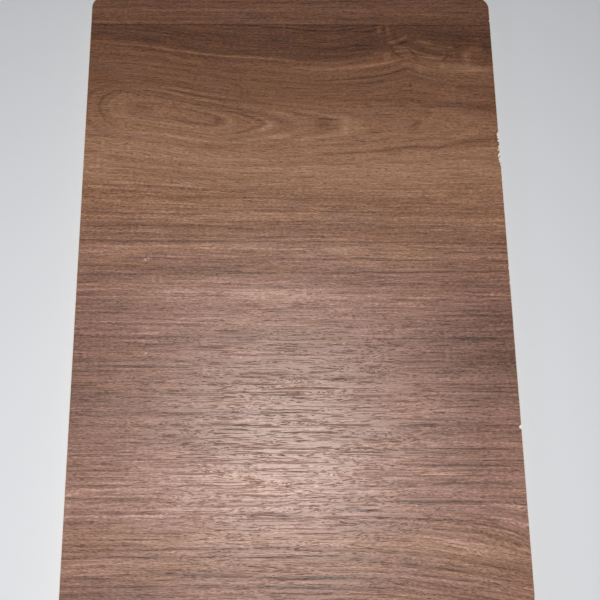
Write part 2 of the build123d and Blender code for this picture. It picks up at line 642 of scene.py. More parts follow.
    strokes: tuple[Stroke, ...] = (
        # The knot: pale strokes, dark ones, then folds across the grain and a patch beside them.
        Stroke(from_x=71.0, from_down=39.0, to_x=78.0, to_down=38.0, half_width=1.3, tone=0.37),
        Stroke(from_x=78.0, from_down=37.5, to_x=88.0, to_down=32.5, half_width=1.6, tone=0.28),
        Stroke(from_x=92.5, from_down=37.0, to_x=105.0, to_down=40.0, half_width=1.3, tone=0.33),
        Stroke(from_x=75.0, from_down=42.5, to_x=87.0, to_down=42.5, half_width=1.0, tone=0.24),
        Stroke(from_x=76.0, from_down=46.0, to_x=84.0, to_down=46.0, half_width=1.0, tone=0.26),
        Stroke(from_x=82.0, from_down=44.5, to_x=92.0, to_down=46.0, half_width=1.0, tone=0.20),
        Stroke(from_x=93.0, from_down=50.0, to_x=111.0, to_down=52.0, half_width=1.0, tone=0.31),
        Stroke(from_x=120.0, from_down=57.0, to_x=148.0, to_down=61.0, half_width=2.2, tone=0.19),
        Stroke(from_x=118.0, from_down=61.5, to_x=147.0, to_down=62.0, half_width=1.0, tone=0.15),
        Stroke(from_x=80.0, from_down=57.0, to_x=88.0, to_down=56.0, half_width=1.1, tone=0.24),
        Stroke(from_x=59.0, from_down=48.0, to_x=66.0, to_down=47.0, half_width=1.4, tone=0.21),
        Stroke(from_x=136.0, from_down=35.5, to_x=143.0, to_down=34.5, half_width=1.0, tone=0.18),
        Stroke(from_x=116.0, from_down=43.0, to_x=120.0, to_down=42.0, half_width=0.9, tone=0.21),
        Stroke(from_x=101.0, from_down=44.0, to_x=116.0, to_down=43.0, half_width=2.5, tone=0.09),
        Stroke(from_x=90.0, from_down=57.0, to_x=98.0, to_down=62.0, half_width=3.0, tone=0.15),
        Stroke(from_x=78.0, from_down=40.0, to_x=88.0, to_down=37.0, half_width=1.1, tone=-0.22),
        Stroke(from_x=74.0, from_down=44.0, to_x=78.0, to_down=49.0, half_width=1.0, tone=-0.19),
        Stroke(from_x=77.0, from_down=48.5, to_x=84.0, to_down=52.0, half_width=1.0, tone=-0.16),
        Stroke(from_x=86.0, from_down=43.5, to_x=93.0, to_down=51.0, half_width=0.9, tone=-0.19),
        Stroke(from_x=111.0, from_down=54.0, to_x=117.0, to_down=49.0, half_width=0.9, tone=-0.21),
        Stroke(from_x=120.5, from_down=43.0, to_x=126.0, to_down=41.5, half_width=1.3, tone=-0.21),
        Stroke(from_x=123.0, from_down=33.5, to_x=129.0, to_down=36.0, half_width=0.9, tone=-0.16),
        Stroke(from_x=141.0, from_down=42.0, to_x=150.0, to_down=43.0, half_width=3.0, tone=-0.14),
        Stroke(from_x=42.0, from_down=30.0, to_x=60.0, to_down=29.5, half_width=1.0, tone=-0.14),
        Stroke(from_x=42.0, from_down=41.0, to_x=62.0, to_down=41.5, half_width=1.0, tone=-0.16),
        Stroke(from_x=42.0, from_down=45.0, to_x=62.0, to_down=44.0, half_width=0.8, tone=-0.14),
        Stroke(from_x=89.0, from_down=52.0, to_x=95.0, to_down=54.0, half_width=1.6, tone=-0.16),
        Stroke(from_x=98.0, from_down=32.0, to_x=110.0, to_down=33.0, half_width=0.9, tone=-0.14),
        Stroke(from_x=61.0, from_down=23.8, to_x=61.5, to_down=29.0, half_width=1.2, tone=-0.14),
        Stroke(from_x=68.5, from_down=24.0, to_x=69.0, to_down=30.0, half_width=1.1, tone=-0.18),
        Stroke(from_x=76.5, from_down=30.0, to_x=77.0, to_down=36.5, half_width=1.1, tone=-0.14),
        Stroke(from_x=65.5, from_down=26.0, to_x=65.0, to_down=33.0, half_width=1.5, tone=0.20),
        Stroke(from_x=71.5, from_down=26.0, to_x=72.0, to_down=33.5, half_width=1.8, tone=0.18),
        Stroke(from_x=70.0, from_down=44.0, to_x=70.5, to_down=55.0, half_width=3.0, tone=0.21),
        Stroke(from_x=111.0, from_down=55.0, to_x=111.5, to_down=61.0, half_width=2.0, tone=0.18),
        Stroke(from_x=131.0, from_down=44.0, to_x=129.5, to_down=57.0, half_width=3.6, tone=0.24),
        Stroke(from_x=133.0, from_down=44.5, to_x=143.0, to_down=45.5, half_width=4.0, tone=0.16),
        # The eye: lines of its loops and the tips at its right end.
        Stroke(from_x=-4.0, from_down=94.0, to_x=15.0, to_down=99.0, half_width=0.8, tone=-0.17),
        Stroke(from_x=15.0, from_down=99.0, to_x=33.0, to_down=101.5, half_width=0.9, tone=-0.19),
        Stroke(from_x=-4.0, from_down=91.3, to_x=20.0, to_down=96.8, half_width=0.9, tone=0.15),
        Stroke(from_x=20.0, from_down=96.8, to_x=38.0, to_down=101.0, half_width=0.9, tone=0.15),
        Stroke(from_x=-21.0, from_down=114.3, to_x=-5.0, to_down=112.3, half_width=0.9, tone=0.2),
        Stroke(from_x=35.0, from_down=108.0, to_x=47.0, to_down=104.0, half_width=2.8, tone=0.09),
        Stroke(from_x=15.0, from_down=104.0, to_x=30.0, to_down=103.5, half_width=2.8, tone=-0.1),
        Stroke(from_x=86.0, from_down=105.5, to_x=94.0, to_down=102.5, half_width=1.5, tone=-0.22),
        Stroke(from_x=84.0, from_down=99.0, to_x=92.0, to_down=102.0, half_width=0.9, tone=-0.12),
        Stroke(from_x=62.0, from_down=116.0, to_x=84.0, to_down=112.0, half_width=0.9, tone=-0.15),
        Stroke(from_x=84.0, from_down=112.0, to_x=92.0, to_down=106.0, half_width=0.9, tone=-0.16),
        Stroke(from_x=96.0, from_down=103.0, to_x=108.0, to_down=96.5, half_width=2.6, tone=0.13),
        Stroke(from_x=20.0, from_down=121.0, to_x=60.0, to_down=116.5, half_width=1.0, tone=-0.12),
    )

    def material(self, figure: WalnutFigure, length: float) -> bpy.types.Material:
        """Builds the film's shader.

        Args:
            figure: The figure whose UV maps the shader reads.
            length: The panel's length, which turns distances from its far end into y.

        Returns:
            The material.
        """
        made = bpy.data.materials.new("walnut_melamine")
        made.use_nodes = True
        tree = made.node_tree
        shader = tree.nodes["Principled BSDF"]
        shader.inputs["IOR"].default_value = self.index
        shader.inputs["Specular Tint"].default_value = hex_to_linear(self.sheen)
        places = self.places(tree)
        tone = self.banded(tree, places[Guide.FIBRES], self.bands)
        for mark in self.marks + tuple(stroke.mark() for stroke in self.strokes):
            tone = self.marked(tree, places, mark, figure, length, tone)
        for grain in self.grains:
            tone = self.grained(tree, places, grain, tone)
        pressed = add(tree, "ShaderNodeValue").outputs[0]
        pressed.default_value = 0.0
        stagger = self.grained(tree, places, self.stagger, pressed)
        wobble = self.grained(tree, places, self.wobble, pressed)
        shift = add(tree, "ShaderNodeCombineXYZ", None, {0: stagger, 1: wobble})
        staggered = add(
            tree,
            "ShaderNodeVectorMath",
            {"operation": "ADD"},
            {0: places[Guide.FIBRES], 1: shift.outputs[0]},
        ).outputs[0]
        for pores in self.pores:
            tone, pressed = self.pored(tree, staggered, pores, tone, pressed)
        rosy = self.banded(tree, places[Guide.FIBRES], self.rosy)
        rosy = self.grained(tree, places, self.blotch, rosy)
        colours = [self.ramp(tree, tone, codes) for codes in (self.warm, self.rose)]
        blend = add(
            tree,
            "ShaderNodeMix",
            {"data_type": "RGBA"},
            {0: rosy, 6: colours[0], 7: colours[1]},
        )
        tree.links.new(blend.outputs[2], shader.inputs["Base Color"])
        sink = add(
            tree,
            "ShaderNodeBump",
            {"invert": True, "Strength": 1.0, "Distance": self.pore_depth * MM},
            {"Height": pressed},
        )
        tree.links.new(sink.outputs[0], shader.inputs["Normal"])
        dull = add(
            tree,
            "ShaderNodeMapRange",
            {1: 0.0, 2: 1.0, 3: self.roughness, 4: self.pore_roughness},
            {0: pressed},
        )
        tree.links.new(dull.outputs[0], shader.inputs["Roughness"])
        return made

    def places(self, tree: bpy.types.NodeTree) -> dict[Guide, bpy.types.NodeSocket]:
        """Adds the three systems of places, in millimetres, that the print is drawn in.

        Places along the rings carry the fibre coordinate as their third number, which tells
        the two sides of the eye apart. A slow noise sways both, as the wood's own grain does.

        Args:
            tree: The material's node tree.

        Returns:
            For each guide, the output that carries its places.
        """
        rings = add(tree, "ShaderNodeUVMap", {"uv_map": Guide.RINGS.value}).outputs["UV"]
        fibres = add(tree, "ShaderNodeUVMap", {"uv_map": Guide.FIBRES.value}).outputs["UV"]
        ring = add(tree, "ShaderNodeSeparateXYZ", None, {0: rings}).outputs
        fibre = add(tree, "ShaderNodeSeparateXYZ", None, {0: fibres}).outputs
        found = {Guide.RINGS: rings, Guide.FIBRES: fibres}
        level = add(tree, "ShaderNodeValue").outputs[0]
        level.default_value = 0.0
        swing = self.grained(tree, found, self.sway, level)
        swayed = [
            add(tree, "ShaderNodeMath", {"operation": "ADD"}, {0: across, 1: swing}).outputs[0]
            for across in (ring["Y"], fibre["Y"])
        ]
        found[Guide.RINGS] = add(
            tree,
            "ShaderNodeCombineXYZ",
            None,
            {0: ring["X"], 1: swayed[0], 2: fibre["Y"]},
        ).outputs[0]
        found[Guide.FIBRES] = add(
            tree,
            "ShaderNodeCombineXYZ",
            None,
            {0: ring["X"], 1: swayed[1]},
        ).outputs[0]
        metres = add(tree, "ShaderNodeTexCoord").outputs["Object"]
        face = add(
            tree,
            "ShaderNodeVectorMath",
            {"operation": "MULTIPLY", 1: (1.0 / MM, 1.0 / MM, 0.0)},
            {0: metres},
        )
        found[Guide.FACE] = face.outputs[0]
        return found

    def banded(
        self,
        tree: bpy.types.NodeTree,
        place: bpy.types.NodeSocket,
        bands: tuple[tuple[float, float], ...],
    ) -> bpy.types.NodeSocket:
        """Reads a value off a curve, straight between its points, by the place's level.

        Args:
            tree: The material's node tree.
            place: The places along the fibres, whose second number is the level.
            bands: Level and value of each of the curve's points.

        Returns:
            The output that carries the value.
        """
        axes = add(tree, "ShaderNodeSeparateXYZ", None, {0: place})
        share = add(
            tree,
            "ShaderNodeMapRange",
            {1: self.level_low, 2: self.level_high, 3: 0.0, 4: 1.0},
            {0: axes.outputs["Y"]},
        )
        curve = add(tree, "ShaderNodeValToRGB", None, {0: share.outputs[0]})
        stops = curve.color_ramp.elements
        stops.remove(stops[1])
        reach = self.level_high - self.level_low
        for number, (level, value) in enumerate(bands):
            at = (level - self.level_low) / reach
            stop = stops.new(at) if number else stops[0]
            stop.position = at
            stop.color = (value, value, value, 1.0)
        return add(tree, "ShaderNodeRGBToBW", None, {0: curve.outputs["Color"]}).outputs[0]

    def marked(
        self,
        tree: bpy.types.NodeTree,
        places: dict[Guide, bpy.types.NodeSocket],
        mark: Mark,
        figure: WalnutFigure,
        length: float,
        tone: bpy.types.NodeSocket,
    ) -> bpy.types.NodeSocket:
        """Adds one mark to the tone: a smooth step down from its middle to its ellipse's rim.

        The place less the middle, over the half sizes, has a length that is one at the rim.
        Along the rings the third number also counts, which keeps a mark to its own side of
        the eye. A turned mark has its places turned back round its middle first.

        Args:
            tree: The material's node tree.
            places: The places that each guide gives.
            mark: The mark.
            figure: The figure, which gives the mark its ring.
            length: The panel's length.
            tone: The tone so far.

        Returns:
            The output that carries the new tone.
        """
        centre = (mark.x, 0.5 * length - mark.down, 0.0)
        if mark.guide is Guide.RINGS:
            centre = figure.place(mark.x, mark.down)
        place = places[mark.guide]
        if mark.turn:
            place = add(
                tree,
                "ShaderNodeVectorRotate",
                {"rotation_type": "Z_AXIS", "Center": centre, "Angle": -float(np.radians(mark.turn))},
                {0: place},
            ).outputs[0]
        shrink = (1.0 / mark.half_length, 1.0 / mark.half_width, 1.0 / self.side_reach)
        shift = tuple(-at * scale for at, scale in zip(centre, shrink))
        near = add(
            tree,
            "ShaderNodeVectorMath",
            {"operation": "MULTIPLY_ADD", 1: shrink, 2: shift},
            {0: place},
        )
        away = add(tree, "ShaderNodeVectorMath", {"operation": "LENGTH"}, {0: near.outputs[0]})
        fall = add(
            tree,
            "ShaderNodeMapRange",
            {"interpolation_type": "SMOOTHSTEP", 1: 0.0, 2: 1.0, 3: mark.tone, 4: 0.0},
            {0: away.outputs["Value"]},
        )
        return add(tree, "ShaderNodeMath", {"operation": "ADD"}, {0: tone, 1: fall.outputs[0]}).outputs[0]

    def grained(
        self,
        tree: bpy.types.NodeTree,
        places: dict[Guide, bpy.types.NodeSocket],
        grain: Grain,
        tone: bpy.types.NodeSocket,
    ) -> bpy.types.NodeSocket:
        """Adds one layer of noise to the tone: the noise less a half, times its strength.

        Args:
            tree: The material's node tree.
            places: The places that each guide gives.
            grain: The layer.
            tone: The tone so far.

        Returns:
            The output that carries the new tone.
        """
        axes = add(tree, "ShaderNodeSeparateXYZ", None, {0: places[Guide.FIBRES]})
        strength = add(
            tree,
            "ShaderNodeMapRange",
            {1: self.plain_from, 2: self.plain_to, 3: grain.depth, 4: grain.plain},
            {0: axes.outputs["Y"]},
        )
        scale = (1.0 / grain.run, 1.0 / grain.width, 1.0 / self.side_fade)
        drawn = add(
            tree,
            "ShaderNodeVectorMath",
            {"operation": "MULTIPLY", 1: scale},
            {0: places[grain.guide]},
        )
        noise = add(
            tree,
            "ShaderNodeTexNoise",
            {"Scale": 1.0, "Detail": grain.detail, "Roughness": self.noise_roughness},
            {"Vector": drawn.outputs[0]},
        )
        middle = add(tree, "ShaderNodeMath", {"operation": "SUBTRACT", 1: 0.5}, {0: noise.outputs[0]})
        return add(
            tree,
            "ShaderNodeMath",
            {"operation": "MULTIPLY_ADD"},
            {0: middle.outputs[0], 1: strength.outputs[0], 2: tone},
        ).outputs[0]

    def pored(
        self,
        tree: bpy.types.NodeTree,
        place: bpy.types.NodeSocket,
        pores: Pores,
        tone: bpy.types.NodeSocket,
        pressed: bpy.types.NodeSocket,
    ) -> tuple[bpy.types.NodeSocket, bpy.types.NodeSocket]:
        """Adds one layer of pores to the tone and to the pressed relief.

        The distance to a cell's own point in the stretched surface makes the dash. It is
        drawn where the cell's random number is under the share, in full under half of it.

        Args:
            tree: The material's node tree.
            place: The staggered places along the fibres.
            pores: The layer.
            tone: The tone so far.
            pressed: The relief so far.

        Returns:
            The outputs that carry the new tone and the new relief.
        """
        cells = add(
            tree,
            "ShaderNodeVectorMath",
            {
                "operation": "MULTIPLY_ADD",
                1: (1.0 / pores.run, 1.0 / pores.width, 0.0),
                2: (pores.offset, pores.offset, 0.0),
            },
            {0: place},
        )
        dashes = add(
            tree,
            "ShaderNodeTexVoronoi",
            {"voronoi_dimensions": "2D", "Scale": 1.0},
            {"Vector": cells.outputs[0]},
        )
        chance = add(tree, "ShaderNodeSeparateColor", None, {0: dashes.outputs["Color"]})
        held = add(
            tree,
            "ShaderNodeMapRange",
            {1: pores.share, 2: 0.5 * pores.share, 3: 0.0, 4: 1.0},
            {0: chance.outputs["Red"]},
        )
        dash = add(
            tree,
            "ShaderNodeMapRange",
            {"interpolation_type": "SMOOTHSTEP", 1: self.pore_rim, 2: self.pore_heart, 3: 0.0, 4: 1.0},
            {0: dashes.outputs["Distance"]},
        )
        pore = add(
            tree,
            "ShaderNodeMath",
            {"operation": "MULTIPLY"},
            {0: dash.outputs[0], 1: held.outputs[0]},
        )
        axes = add(tree, "ShaderNodeSeparateXYZ", None, {0: place})
        zone = add(
            tree,
            "ShaderNodeMapRange",
            {1: self.plain_from, 2: self.plain_to, 3: pores.figured, 4: 1.0},
            {0: axes.outputs["Y"]},
        )
        deep = add(
            tree,
            "ShaderNodeMath",
            {"operation": "MULTIPLY"},
            {0: pore.outputs[0], 1: zone.outputs[0]},
        )
        inked = add(
            tree,
            "ShaderNodeMath",
            {"operation": "MULTIPLY_ADD", 1: pores.tone},
            {0: deep.outputs[0], 2: tone},
        )
        lower = add(
            tree,
            "ShaderNodeMath",
            {"operation": "MAXIMUM"},
            {0: deep.outputs[0], 1: pressed},
        )
        return inked.outputs[0], lower.outputs[0]

    def ramp(
        self,
        tree: bpy.types.NodeTree,
        tone: bpy.types.NodeSocket,
        codes: tuple[str, ...],
    ) -> bpy.types.NodeSocket:
        """Turns the tone into colour along one of the two palettes.

        Args:
            tree: The material's node tree.
            tone: The print's tone.
            codes: The palette's colours, dark to pale.

        Returns:
            The output that carries the colour.
        """
        ramp = add(tree, "ShaderNodeValToRGB", None, {0: tone})
        stops = ramp.color_ramp.elements
        stops.remove(stops[1])
        for number, (at, code) in enumerate(zip(self.palette, codes)):
            stop = stops.new(at) if number else stops[0]
            stop.position = at
            stop.color = hex_to_linear(code)
        return ramp.outputs["Color"]


@dataclass(frozen=True)
class FilmEdge:
    """The film's cut edge: brown resin paper, dull where the cutter went through it."""

    colour: str = "#38261D"
    light: str = "#563B2D"
    grit: float = 0.5
    roughness: float = 0.62

    def material(self) -> bpy.types.Material:
        """Builds the shader: two browns mixed by a noise of the grit's size."""
        made = bpy.data.materials.new("film_cut_edge")
        made.use_nodes = True
        tree = made.node_tree
        shader = tree.nodes["Principled BSDF"]
        shader.inputs["Roughness"].default_value = self.roughness
        where = add(tree, "ShaderNodeTexCoord").outputs["Object"]
        scale = 1.0 / (self.grit * MM)
        grains = add(tree, "ShaderNodeTexNoise", {"Scale": scale, "Detail": 2.0}, {"Vector": where})
        blend = add(
            tree,
            "ShaderNodeMix",
            {"data_type": "RGBA", 6: hex_to_linear(self.colour), 7: hex_to_linear(self.light)},
            {0: grains.outputs[0]},
        )
        tree.links.new(blend.outputs[2], shader.inputs["Base Color"])
        return made


@dataclass(frozen=True)
class CutPly:
    """Sawn and sanded birch plies: long grain and end grain in turn, dark glue lines.

    The end grain stands back from the cut by its sink, and the glue lines are fine grooves.
    """

    plies: int = 13
    end_sink: float = 0.09
    long_sink: float = 0.01
    groove: float = 0.05
    groove_rim: float = 0.10
    groove_bed: float = 0.03
    long_grain: str = "#FFF4E2"
    end_grain: str = "#D3B48C"
    glue: str = "#7E5E41"
    glue_share: float = 0.05
    grain: float = 0.5
    grain_run: float = 6.5
    grain_width: float = 0.42
    roughness: float = 0.66

    def sink(self, height: np.ndarray, ply: float) -> np.ndarray:
        """How far the cut stands back at a height.

        Every second ply is end grain and gets the deeper sink, and near a glue line, where
        height over ply is close to a whole number, the groove is added.

        Args:
            height: Heights above the underside.
            ply: One ply's thickness.

        Returns:
            The depth behind the edge's flat at each height.
        """
        layer = height / ply
        back = np.where(np.floor(layer) % 2 == 1, self.end_sink, self.long_sink)
        from_glue = np.abs(layer - np.round(layer)) * ply
        return np.where(from_glue < 0.5 * self.groove_rim, back + self.groove, back)

    def material(self, thickness: float) -> bpy.types.Material:
        """Builds the shader: the ply at a point is its height over one ply's thickness.

        Odd and even plies get two woods, a stretched noise streaks them, and a strip at
        every whole number is glue.

        Args:
            thickness: The panel's thickness.

        Returns:
            The material.
        """
        made = bpy.data.materials.new("cut_birch_ply")
        made.use_nodes = True
        tree = made.node_tree
        shader = tree.nodes["Principled BSDF"]
        shader.inputs["Roughness"].default_value = self.roughness
        where = add(tree, "ShaderNodeTexCoord").outputs["Object"]
        axes = add(tree, "ShaderNodeSeparateXYZ", None, {0: where})
        layer = add(
            tree,
            "ShaderNodeMath",
            {"operation": "MULTIPLY", 1: self.plies / (thickness * MM)},
            {0: axes.outputs["Z"]},
        )
        turn = add(tree, "ShaderNodeMath", {"operation": "MULTIPLY", 1: 0.5}, {0: layer.outputs[0]})
        half = add(tree, "ShaderNodeMath", {"operation": "FRACT"}, {0: turn.outputs[0]})
        odd = add(tree, "ShaderNodeMath", {"operation": "GREATER_THAN", 1: 0.5}, {0: half.outputs[0]})
        run, width = 1.0 / (self.grain_run * MM), 1.0 / (self.grain_width * MM)
        drawn = add(
            tree,
            "ShaderNodeVectorMath",
            {"operation": "MULTIPLY", 1: (run, run, width)},
            {0: where},
        )
        noise = add(tree, "ShaderNodeTexNoise", {"Scale": 1.0, "Detail": 3.0}, {"Vector": drawn.outputs[0]})
        share = add(
            tree,
            "ShaderNodeMath",
            {"operation": "MULTIPLY_ADD", 1: self.grain, 2: -0.5 * self.grain},
            {0: noise.outputs[0]},
        )
        mixed = add(
            tree,
            "ShaderNodeMath",
            {"operation": "ADD"},
            {0: odd.outputs[0], 1: share.outputs[0]},
        )
        blend = add(
            tree,
            "ShaderNodeMix",
            {"data_type": "RGBA", 6: hex_to_linear(self.long_grain), 7: hex_to_linear(self.end_grain)},
            {0: mixed.outputs[0]},
        )
        line = add(tree, "ShaderNodeMath", {"operation": "PINGPONG", 1: 0.5}, {0: layer.outputs[0]})
        glued = add(
            tree,
            "ShaderNodeMath",
            {"operation": "LESS_THAN", 1: self.glue_share},
            {0: line.outputs[0]},
        )
        lined = add(
            tree,
            "ShaderNodeMix",
            {"data_type": "RGBA", 7: hex_to_linear(self.glue)},
            {0: glued.outputs[0], 6: blend.outputs[2]},
        )
        tree.links.new(lined.outputs[2], shader.inputs["Base Color"])
        return made


@dataclass
class Panel:
    """The panel itself, one closed mesh from the outline, the section and the figure.

    film is how far down the arris the film's cut edge shows, and arris_cuts are the shares
    of the arris where it is cut to hollow a flake: by hollow_share of the bite, or of the
    drop and hollow_lead where that is less. tear_drop is a tear's drop over its depth.
    The fields that end in _step are the spacings of the grid, read at survey places, and
    facing is how squarely a rim point has to face +X to count as worn. Grooves stay wall_top
    under the face, columns give way up to give_reach inside the worn edge, and under_ring is
    the share of the outline at which the underside has its inner ring.
    """

    width: float
    length: float
    thickness: float
    corner: float = 10.0
    arris: float = 0.6
    film: float = 0.10
    corner_cuts: int = 8
    eye_down: float = 165.0
    eye_step: float = 1.35
    plain_step: float = 4.5
    flake_step: float = 0.4
    flake_margin: float = 0.8
    ragged_step: float = 0.6
    knot_reach: float = 20.0
    knot_step: float = 1.3
    across_step: float = 2.4
    survey: int = 24001
    facing: float = 0.999
    arris_cuts: tuple[float, float] = (0.45, 0.72)
    hollow_share: float = 0.30
    hollow_lead: float = 0.4
    tear_drop: float = 0.6
    wall_top: float = 1.46
    give_reach: float = 24.0
    under_ring: float = 0.5
    crease_degrees: float = 30.0
    worn: WornEdge = field(default_factory=WornEdge)
    figure: WalnutFigure = field(default_factory=WalnutFigure)
    cut: CutPly = field(default_factory=CutPly)
    rows: np.ndarray = field(init=False)
    columns: np.ndarray = field(init=False)

    def __post_init__(self) -> None:
        """Lays out the rows along the panel and the columns across it."""
        seam = 0.5 * self.length - self.figure.joint
        self.rows = self.cuts(self.length, self.row_steps, seam)
        self.columns = self.cuts(self.width, self.column_steps)

    def row_steps(self, y: np.ndarray) -> np.ndarray:
        """Row spacing: fine over the eye and finest at the flakes."""
        down = 0.5 * self.length - y
        steps = np.where(down < self.eye_down, self.eye_step, self.plain_step)
        for chip in self.worn.chips:
            close = np.abs(down - chip.from_far_end) < 0.5 * chip.length + self.flake_margin
            steps = np.where(close, self.flake_step, steps)
        rough = (down > self.worn.ragged_from) & (down < self.worn.ragged_to)
        return np.where(rough, np.minimum(steps, self.ragged_step), steps)

    def column_steps(self, x: np.ndarray) -> np.ndarray:
        """Column spacing: finer round the knot."""
        near = np.abs(x - self.figure.knot_x) < self.knot_reach
        return np.where(near, self.knot_step, self.across_step)

    def cuts(
        self,
        span: float,
        steps: Callable[[np.ndarray], np.ndarray],
        seam: float | None = None,
    ) -> np.ndarray:
        """Places over the straight part of a side, then even shares of each corner.

        Args:
            span: The side's full length.
            steps: The spacing as a function of place.
            seam: A place that the nearest cut is moved to, where there is one.

        Returns:
            Places from one end to the other, in the uneased outline.
        """
        flat = 0.5 * span - self.corner
        at = np.linspace(-flat, flat, self.survey)
        inner = graded(-flat, flat, steps(at), at)
        if seam is not None:
            inner[np.argmin(np.abs(inner - seam))] = seam
        share = self.corner * np.arange(1, self.corner_cuts + 1) / self.corner_cuts
        return np.concatenate([-flat - share[::-1], inner, flat + share])

    def corner_turn(self, places: np.ndarray, span: float) -> np.ndarray:
        """How far round a corner's first 45 degrees each place is, signed, in radians."""
        past = np.maximum(np.abs(places) - (0.5 * span - self.corner), 0.0) / self.corner
        return np.sign(places) * past * 0.25 * np.pi

    def rim(self) -> tuple[np.ndarray, np.ndarray]:
        """Base points and outward normals of the outline, once round from the near right.

        A point of the outline at any inset is its base plus the normal times what is left
        of the corner radius.

        Returns:
            Base points and unit normals, one row each for every rim vertex.
        """
        flat_x, flat_y = 0.5 * self.width - self.corner, 0.5 * self.length - self.corner
        turn_y = self.corner_turn(self.rows, self.length)
        turn_x = self.corner_turn(self.columns, self.width)
        up = np.clip(self.rows, -flat_y, flat_y)
        across = np.clip(self.columns, -flat_x, flat_x)
        right = np.stack([np.full_like(up, flat_x), up, np.cos(turn_y), np.sin(turn_y)], 1)
        far = np.stack([across, np.full_like(across, flat_y), np.sin(turn_x), np.cos(turn_x)], 1)
        left, near = right * [-1, 1, -1, 1], far * [1, -1, 1, -1]
        ring = np.concatenate([right[:-1], far[:0:-1], left[:0:-1], near[:-1]])
        return ring[:, :2], ring[:, 2:]

    def face_grid(self, inset: float) -> tuple[np.ndarray, np.ndarray]:
        """The face as a grid whose border is the outline at an inset.

        Inside, rows and columns stay straight, and in the corner zones each is blended from
        its straight place to its place on the arc.

        Args:
            inset: How far inside the uneased outline the border lies.

        Returns:
            x and y of each grid point, rows by columns.
        """
        left = self.corner - inset
        flat_x, flat_y = 0.5 * self.width - self.corner, 0.5 * self.length - self.corner
        turn_y = self.corner_turn(self.rows, self.length)
        turn_x = self.corner_turn(self.columns, self.width)
        shrink = left / self.corner
        clip_x = np.clip(self.columns, -flat_x, flat_x)
        clip_y = np.clip(self.rows, -flat_y, flat_y)
        plain_x = clip_x + (self.columns - clip_x) * shrink
        plain_y = clip_y + (self.rows - clip_y) * shrink
        arc_x, arc_y = clip_x + left * np.sin(turn_x), clip_y + left * np.sin(turn_y)
        diagonal = 1.0 - np.sqrt(0.5)
        side = (np.cos(turn_y) - np.sqrt(0.5)) / diagonal
        end = (np.cos(turn_x) - np.sqrt(0.5)) / diagonal
        x = arc_x[None, :] + (plain_x - arc_x)[None, :] * side[:, None]
        y = arc_y[:, None] + (plain_y - arc_y)[:, None] * end[None, :]
        return x, y

    def section(self, down: np.ndarray, worn: np.ndarray) -> tuple[np.ndarray, np.ndarray]:
        """The rim's section at each rim vertex, from the top film to the bottom film.

        The top arris is a straight cut from the film to the edge, hollowed where a flake is
        out. Down the edge the end-grain plies lie back and each glue line is a fine groove.

        Args:
            down: Distance from the far end of each rim vertex.
            worn: One on the worn edge and zero elsewhere.

        Returns:
            Inset and height, section rows by rim vertices.
        """
        bite, drop = self.worn.flakes(down, self.arris)
        tear = self.worn.tear(down)
        bite = worn * np.maximum(bite, tear)
        drop = worn * np.maximum(drop, self.tear_drop * tear)
        reach, fall = self.arris + bite, self.arris + drop
        hollow = self.hollow_share * np.minimum(bite, drop + self.hollow_lead)
        share = np.array([0.0, self.film / self.arris, *self.arris_cuts, 1.0])[:, None]
        sag = np.sin(np.pi * share) * hollow
        top_in = reach * (1.0 - share) + sag
        top_z = self.thickness - fall * share - sag
        ply = self.thickness / self.cut.plies
        lines = np.arange(self.cut.plies - 1, 0, -1) * ply
        rim, bed = self.cut.groove_rim, self.cut.groove_bed
        wall_z = (lines[:, None] + np.array([rim, bed, -bed, -rim])).ravel()
        wall_z = wall_z[wall_z < self.thickness - self.wall_top]
        wall_in = self.cut.sink(wall_z, ply)
        ones = np.ones_like(down)[None, :]
        low = share[::-1]
        return (
            np.concatenate([top_in, wall_in[:, None] * ones, self.arris * (1.0 - low) * ones]),
            np.concatenate([top_z, wall_z[:, None] * ones, self.arris * low * ones]),
        )

    def surface(self) -> tuple[np.ndarray, list[np.ndarray]]:
        """Works out the vertices: the face's grid, the rings down the edge and the underside.

        The grid's border is the first ring. Each further ring is the outline at the
        section's next inset and height, and the last is the underside's inner ring, whose
        middle is the pole. Near the worn edge the columns give way by the bite, eased off
        inwards.

        Returns:
            The points in millimetres, the pole last, and each ring's vertex numbers.
        """
        base, normal = self.rim()
        rim_y = base[:, 1] + self.corner * normal[:, 1]
        worn = (normal[:, 0] > self.facing).astype(float)
        inset, height = self.section(0.5 * self.length - rim_y, worn)
        levels, around = inset.shape
        outline = base[None] + (self.corner - inset)[..., None] * normal[None]
        x, y = self.face_grid(self.arris)
        side = len(self.rows) - 1
        bite = np.interp(self.rows, rim_y[:side], inset[0, :side] - self.arris)
        give = ease((self.columns - 0.5 * self.width) / self.give_reach + 1.0)
        x = x - bite[:, None] * give[None, :]
        face = np.stack([x, y, np.full_like(x, self.thickness)], -1)
        wall = np.concatenate([outline[1:], height[1:, :, None]], -1)
        under = np.concatenate([self.under_ring * outline[-1], np.zeros((around, 1))], -1)
        points = np.concatenate([face.reshape(-1, 3), wall.reshape(-1, 3), under, [[0, 0, 0]]])
        grid = np.arange(x.size).reshape(x.shape)
        border = np.concatenate([grid[:-1, -1], grid[-1, :0:-1], grid[:0:-1, 0], grid[0, :-1]])
        below = x.size + np.arange(levels * around).reshape(levels, around)
        return points, [border, *below]

